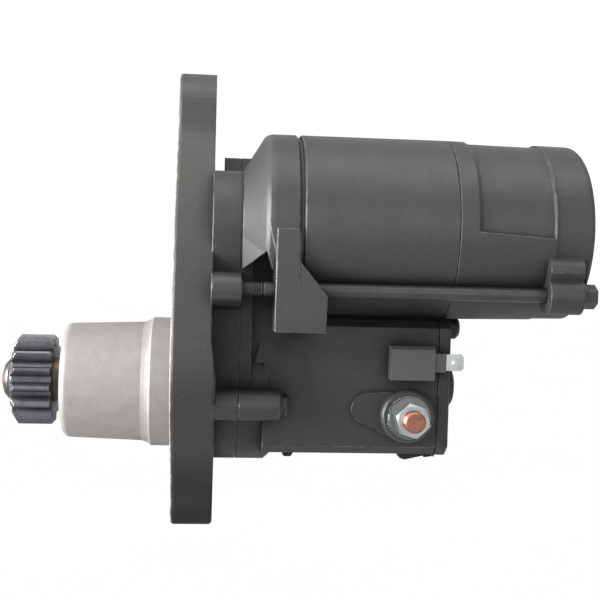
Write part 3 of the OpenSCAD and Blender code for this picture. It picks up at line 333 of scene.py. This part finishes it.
# The look of each material slot in the record.
SLOT_LOOKS = {
    "painted_casting": painted_material("painted_casting"),
    "painted_steel": painted_material("painted_yoke", grain_mm=3.0, grain_depth=0.15, rough=0.46),
    "painted_fastener": painted_material("painted_fastener", grain_mm=0.8, grain_depth=0.3, rough=0.36),
    "bronze": metal_material(
        "sintered_bronze", light=(0.62, 0.42, 0.18), dark=(0.42, 0.27, 0.11), rough=0.45, marks=LATHE),
    "bearing_steel": metal_material(
        "bearing_steel", light=(0.74, 0.75, 0.77), dark=(0.60, 0.61, 0.63), rough=0.18, marks=LATHE,
        mark_mm=0.6, mark_depth=0.15),
    "machined_steel": metal_material(
        "machined_steel", light=(0.60, 0.60, 0.61), dark=(0.42, 0.42, 0.43), rough=0.32, marks=LATHE,
        mark_mm=0.8),
    "dark_steel": metal_material(
        "phosphated_steel", light=(0.17, 0.17, 0.18), dark=(0.09, 0.09, 0.095), rough=0.42, marks=LATHE,
        mark_mm=0.8, mark_depth=0.4),
    "spring_steel": metal_material(
        "spring_wire", light=(0.45, 0.45, 0.47), dark=(0.30, 0.30, 0.31), rough=0.30, marks=ALONG_X,
        mark_mm=0.5, mark_depth=0.2),
    "copper": metal_material(
        "stud_copper", light=(0.50, 0.235, 0.17), dark=(0.22, 0.09, 0.06), rough=0.42,
        mark_mm=0.7, mark_depth=1.0, edge_gain=0.6, stain=(0.10, 0.04, 0.025), stain_amount=0.6),
    "enamelled_copper": metal_material(
        "enamelled_wire", light=(0.42, 0.16, 0.07), dark=(0.24, 0.08, 0.035), rough=0.24, marks=ALONG_X,
        mark_mm=0.8, mark_depth=0.6, edge_gain=0.4, stain=(0.10, 0.03, 0.015), stain_amount=0.4, metal=0.5),
    "zinc_plate": metal_material(
        "zinc_plate", light=(0.60, 0.62, 0.62), dark=(0.46, 0.48, 0.48), rough=0.34,
        mark_mm=1.6, mark_depth=0.25, edge_gain=0.4, stain=(0.16, 0.17, 0.14), stain_amount=0.5),
    "rubber": polymer_material(
        "black_rubber", light=(0.030, 0.030, 0.031), dark=(0.016, 0.016, 0.017), rough=0.62,
        grain_mm=0.4, grain_depth=0.6),
    "insulation_board": polymer_material(
        "moulded_insulator", light=(0.036, 0.036, 0.038), dark=(0.018, 0.018, 0.019), rough=0.42,
        grain_mm=0.4, grain_depth=0.4),
    "nylon": polymer_material(
        "moulded_nylon", light=(0.55, 0.50, 0.38), dark=(0.42, 0.37, 0.27), rough=0.45, grain_depth=0.4),
    "carbon": polymer_material(
        "brush_carbon", light=(0.05, 0.046, 0.044), dark=(0.022, 0.02, 0.02), rough=0.55,
        grain_mm=0.3, grain_depth=0.8),
    "grey_plastic": polymer_material(
        "connector_plastic", light=(0.058, 0.058, 0.062), dark=(0.042, 0.042, 0.045), rough=0.52,
        grain_mm=0.6),
    "lead_sheath": polymer_material(
        "lead_sleeve", light=(0.16, 0.03, 0.02), dark=(0.08, 0.014, 0.01), rough=0.6,
        grain_mm=0.8, grain_depth=1.0),
}

# Nodes that look different from the rest of their slot.
NODE_LOOKS = {
    "drive_housing": housing_material(),
    "pinion": metal_material(
        "pinion_steel", light=(0.20, 0.20, 0.215), dark=(0.105, 0.105, 0.115), rough=0.36, marks=ALONG_X,
        mark_mm=0.7, mark_depth=0.4, edge_gain=0.8, stain=(0.05, 0.045, 0.04), stain_amount=0.6,
        metal=0.95, edge_mm=0.35),
    "pinion_shaft": metal_material(
        "oiled_shaft_steel", light=(0.20, 0.17, 0.145), dark=(0.075, 0.062, 0.052), rough=0.40, marks=LATHE,
        mark_mm=0.8, stain=(0.05, 0.035, 0.025), stain_amount=0.8),
    "terminal_washers": metal_material(
        "dull_zinc_plate", light=(0.24, 0.255, 0.255), dark=(0.11, 0.118, 0.112), rough=0.36,
        mark_mm=1.6, mark_depth=0.3, edge_gain=0.6, stain=(0.06, 0.065, 0.05), stain_amount=0.6),
}


def dress_nodes():
    slots = {part["node"]: part["material_slot"] for part in frame["record"]["subparts"]}
    for name, node in NODES.items():
        node.data.materials.clear()
        node.data.materials.append(NODE_LOOKS.get(name) or SLOT_LOOKS[slots[name]])


# ---------- return spring ----------


def make_return_spring():
    """The return spring as a piece of its own, attached to the motor frame in place of the CAD spring."""
    piece = bpy.data.objects.new("return_spring_wire", NODES["return_spring"].data.copy())
    bpy.context.scene.collection.objects.link(piece)
    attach(piece, "motor_frame")
    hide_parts("return_spring")
    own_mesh(piece)


# ---------- room and floor ----------

ROOM_COLOUR = (1, 0.99, 0.975)
ROOM_FRONT, ROOM_BACK = 0.20, 0.8      # brightness of the room behind the camera and beside the part
ROOM_LOW, ROOM_HIGH = 0.14, 1.1        # and its share below and above the part
WHITE = (1, 1, 1)
SEEN_WHITE = 1.05                      # brightness of the background that the camera sees

FLOOR_HALF = 3.0
FLOOR_DROP = 0.5 * MM
FLOOR_DARK, FLOOR_LIGHT = (0.74, 0.74, 0.74), (0.80, 0.80, 0.80)
FLOOR_ROUGH = 0.9
GLOW_DARK = (0.99, 0.99, 0.99)
GLOW_REFLECTED, GLOW_SEEN = 0.62, 1.0  # brightness of the floor in reflections and to the camera


def light_path(tree, ray):
    return add(tree, "LightPath").outputs[ray]


def make_world():
    """A white room for the camera, and for the part a dimmer one, darkest low down and at the front."""
    world = bpy.data.worlds.new("room")
    world.use_nodes = True
    bpy.context.scene.world = world
    tree = world.node_tree
    tree.nodes.clear()
    direction = add(tree, "TexCoord").outputs["Generated"]
    _, y, z = add(tree, "SeparateXYZ", {0: direction}).outputs
    front = remap(tree, y, -0.9, 0.0, ROOM_FRONT, ROOM_BACK)
    height = remap(tree, z, -0.35, 0.6, ROOM_LOW, ROOM_HIGH)
    strength = maths(tree, "MULTIPLY", front, height)
    room = add(tree, "Background", {"Color": ROOM_COLOUR, "Strength": strength}).outputs[0]
    white = add(tree, "Background", {"Color": WHITE, "Strength": SEEN_WHITE}).outputs[0]
    add(tree, "OutputWorld", {0: mix_shaders(tree, light_path(tree, "Is Camera Ray"), room, white)})


def floor_material():
    """White paper that glows for the camera and in reflections, and is plain paper for soft light."""
    material, tree = new_material("floor_white")
    at = place(tree)
    paper_colour = blend_colour(tree, noise(tree, at, size_mm=60, detail=2), FLOOR_DARK, FLOOR_LIGHT)
    glow_colour = blend_colour(tree, noise(tree, at, size_mm=90, detail=2), GLOW_DARK, WHITE)
    glow_strength = remap(tree, light_path(tree, "Is Camera Ray"), 0, 1, GLOW_REFLECTED, GLOW_SEEN)
    paper = add(tree, "BsdfPrincipled", {"Base Color": paper_colour, "Roughness": FLOOR_ROUGH}).outputs[0]
    glow = add(tree, "Emission", {"Color": glow_colour, "Strength": glow_strength}).outputs[0]
    add(tree, "OutputMaterial", {0: mix_shaders(tree, light_path(tree, "Is Diffuse Ray"), glow, paper)})
    return material


def make_floor():
    """A plain white floor just under the part."""
    z = CAD_BOX[0][2] - FLOOR_DROP
    corners = [(x * FLOOR_HALF, y * FLOOR_HALF, z) for x, y in ((-1, -1), (1, -1), (1, 1), (-1, 1))]
    mesh = bpy.data.meshes.new("floor")
    mesh.from_pydata(corners, [], [(0, 1, 2, 3)])
    floor = bpy.data.objects.new("floor", mesh)
    bpy.context.scene.collection.objects.link(floor)
    floor.data.materials.append(floor_material())


make_camera()
make_world()
make_floor()
for light_name, light in LIGHTS.items():
    area_light(light_name, **light)
bpy.context.scene.view_settings.view_transform = "Standard"
dress_nodes()
make_return_spring()
